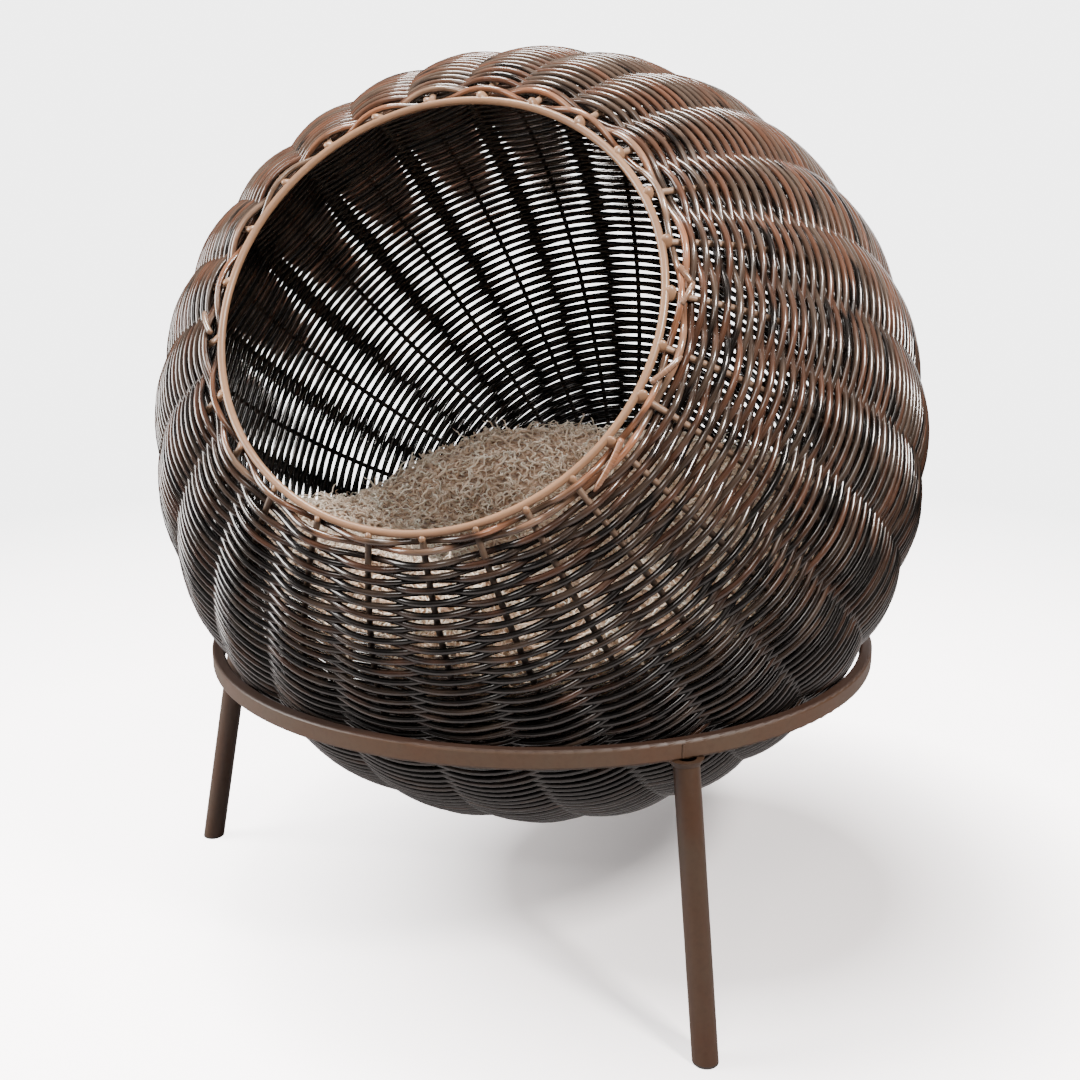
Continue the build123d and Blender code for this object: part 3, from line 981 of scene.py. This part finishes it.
def clothe_base(cushion, cloth):
    """The faces that look down are the plain cloth the pile is sewn to."""
    mesh = cushion.data
    mesh.materials.append(cloth)
    count = len(mesh.polygons)
    normal = np.empty(count * 3, np.float32)
    mesh.polygons.foreach_get("normal", normal)
    below = normal.reshape(-1, 3) @ pad_up < BASE_FACES_DOWN
    mesh.polygons.foreach_set("material_index", below.astype(np.int32))


cushion = build_cushion()
cushion.data.materials.append(fur_base_material())
clothe_base(cushion, base_cloth())
pile = build_pile(cushion)
pile_finish = pile_material()
for piece in pile:
    piece.data.materials.append(pile_finish)


# ---- floor, light and world ---------------------------------------------------------------
# The floor and the backdrop are brighter to the camera than the light that they give.
FLOOR_R = 3.0
FLOOR_RINGS = (0.35, 0.7, 1.1, 1.6, 2.2, FLOOR_R)
FLOOR_SIDES = 96
FLOOR_WHITE = (0.86, 0.805, 0.80)
FLOOR_SEEN_GAIN = 1.30  # times FLOOR_WHITE, as the camera sees it
FLOOR_GIVEN_BACK = 0.38  # and as it lights the object
FLOOR_CLEAR_FROM, FLOOR_CLEAR_TO = 0.55, 1.35  # the floor fades into the backdrop
FLOOR_GLOW_AT = (-0.11, -0.01, 0.0)  # minus the middle of the patch that keeps its shadow
FLOOR_GLOW_FROM, FLOOR_GLOW_TO = 0.13, 0.34  # from that middle, where the glow comes in
FLOOR_LEAST_GLOW = 0.02
FLOOR_SEEN_GLOW = 5.0  # outside the patch the floor is as white as the backdrop
FLOOR_GLOW_COLOUR = (1.0, 0.955, 0.955, 1)
BACKDROP = 4.5  # the world as the camera sees it
ROOM_GLOW = 0.22  # and as it lights the object, times these greys
ROOM_DARK, ROOM_BRIGHT = 0.02, 0.95
ROOM_DARK_AT, ROOM_BRIGHT_AT = 0.38, 0.95  # from 0, straight down, to 1, straight up


def floor_material():
    """Matt white with a glow that only the camera sees, fading to clear far out."""
    m = Nodes("floor_white")
    link = m.tree.links.new
    place = m.place()
    far = m.add("ShaderNodeVectorMath", Vector=place)
    far.operation = "LENGTH"
    fade = m.fit(far.outputs["Value"], FLOOR_CLEAR_FROM, FLOOR_CLEAR_TO, 0.0, 1.0)
    seen = m.add("ShaderNodeLightPath").outputs["Is Camera Ray"]
    gain = m.fit(seen, 0, 1, FLOOR_GIVEN_BACK, FLOOR_SEEN_GAIN)
    white = m.add("ShaderNodeVectorMath", Vector=FLOOR_WHITE)
    white.operation = "SCALE"
    m.put(white.inputs["Scale"], gain)
    matt = m.add("ShaderNodeBsdfDiffuse", Color=white.outputs[0])
    aside = m.add("ShaderNodeVectorMath", Vector=place)
    aside.operation = "ADD"
    aside.inputs[1].default_value = FLOOR_GLOW_AT
    away = m.add("ShaderNodeVectorMath", Vector=aside.outputs[0])
    away.operation = "LENGTH"
    rise = m.fit(
        away.outputs["Value"], FLOOR_GLOW_FROM, FLOOR_GLOW_TO, FLOOR_LEAST_GLOW, FLOOR_SEEN_GLOW
    )
    glow = m.add(
        "ShaderNodeEmission", Color=FLOOR_GLOW_COLOUR, Strength=m.math("MULTIPLY", seen, rise)
    )
    both = m.add("ShaderNodeAddShader")
    blend = m.add("ShaderNodeMixShader", Fac=fade)
    link(matt.outputs[0], both.inputs[0])
    link(glow.outputs[0], both.inputs[1])
    link(both.outputs[0], blend.inputs[1])
    link(m.add("ShaderNodeBsdfTransparent").outputs[0], blend.inputs[2])
    link(blend.outputs[0], m.tree.nodes["Material Output"].inputs["Surface"])
    return m.material


def build_floor():
    turn = np.arange(FLOOR_SIDES) * 2 * pi / FLOOR_SIDES
    verts = [[0.0, 0.0, 0.0]]
    for radius in FLOOR_RINGS:
        verts += [[radius * cos(a), radius * sin(a), 0.0] for a in turn]
    j = np.arange(FLOOR_SIDES)
    k = (j + 1) % FLOOR_SIDES
    tris = np.stack([0 * j, 1 + j, 1 + k], -1)
    quads = []
    for ring in range(len(FLOOR_RINGS) - 1):
        a, b = 1 + ring * FLOOR_SIDES, 1 + (ring + 1) * FLOOR_SIDES
        quads.append(np.stack([a + j, b + j, b + k, a + k], -1))
    floor = mesh_object("floor", verts, np.concatenate(quads), tris, smooth=False)
    floor.data.materials.append(floor_material())


def area_light(name, place, target, size, watts, colour=(1, 1, 1)):
    """A rectangular lamp that looks at the target."""
    data = bpy.data.lights.new(name, "AREA")
    data.shape = "RECTANGLE"
    data.size, data.size_y = size
    data.energy = watts
    data.color = colour
    light = new_object(name, data)
    light.location = place
    look = Vector(target) - Vector(place)
    light.rotation_euler = look.to_track_quat("-Z", "Y").to_euler()


def build_world():
    """White to the camera, and a dim room with a brighter ceiling to everything else."""
    world = bpy.data.worlds.new("studio")
    bpy.context.scene.world = world
    world.use_nodes = True
    tree = world.node_tree
    tree.nodes.clear()
    new = tree.nodes.new
    out = new("ShaderNodeOutputWorld")
    seen = new("ShaderNodeBackground")
    seen.inputs["Color"].default_value = (1, 1, 1, 1)
    seen.inputs["Strength"].default_value = BACKDROP
    room = new("ShaderNodeBackground")
    place = new("ShaderNodeTexCoord")
    split = new("ShaderNodeSeparateXYZ")
    ramp = new("ShaderNodeValToRGB")
    stops = ((ROOM_DARK_AT, ROOM_DARK), (ROOM_BRIGHT_AT, ROOM_BRIGHT))
    for point, (where, grey) in zip(ramp.color_ramp.elements, stops):
        point.position = where
        point.color = (grey, grey, grey, 1)
    fit = new("ShaderNodeMapRange")
    fit.inputs["From Min"].default_value = -1.0
    path = new("ShaderNodeLightPath")
    mix = new("ShaderNodeMixShader")
    link = tree.links.new
    link(place.outputs["Generated"], split.inputs[0])
    link(split.outputs["Z"], fit.inputs["Value"])
    link(fit.outputs["Result"], ramp.inputs["Fac"])
    link(ramp.outputs["Color"], room.inputs["Color"])
    room.inputs["Strength"].default_value = ROOM_GLOW
    link(path.outputs["Is Camera Ray"], mix.inputs["Fac"])
    link(room.outputs[0], mix.inputs[1])
    link(seen.outputs[0], mix.inputs[2])
    link(mix.outputs[0], out.inputs["Surface"])


build_floor()
build_world()
target = tuple(ball_centre)
area_light("key", (1.20, -0.82, 1.60), target, (0.34, 0.34), 64.0, (1.0, 0.975, 0.95))
area_light("top", (-0.25, -0.05, 1.9), target, (0.45, 0.45), 43.0, (1.0, 0.985, 0.965))
area_light("left", (-1.6, -0.65, 0.85), target, (0.9, 1.1), 64.0, (1.0, 0.99, 0.975))
area_light("front", (0.15, -1.7, 1.55), target, (0.45, 0.45), 9.5, (1.0, 0.97, 0.94))
area_light("back", (0.5, 1.6, 0.9), target, (1.2, 1.0), 8.0)
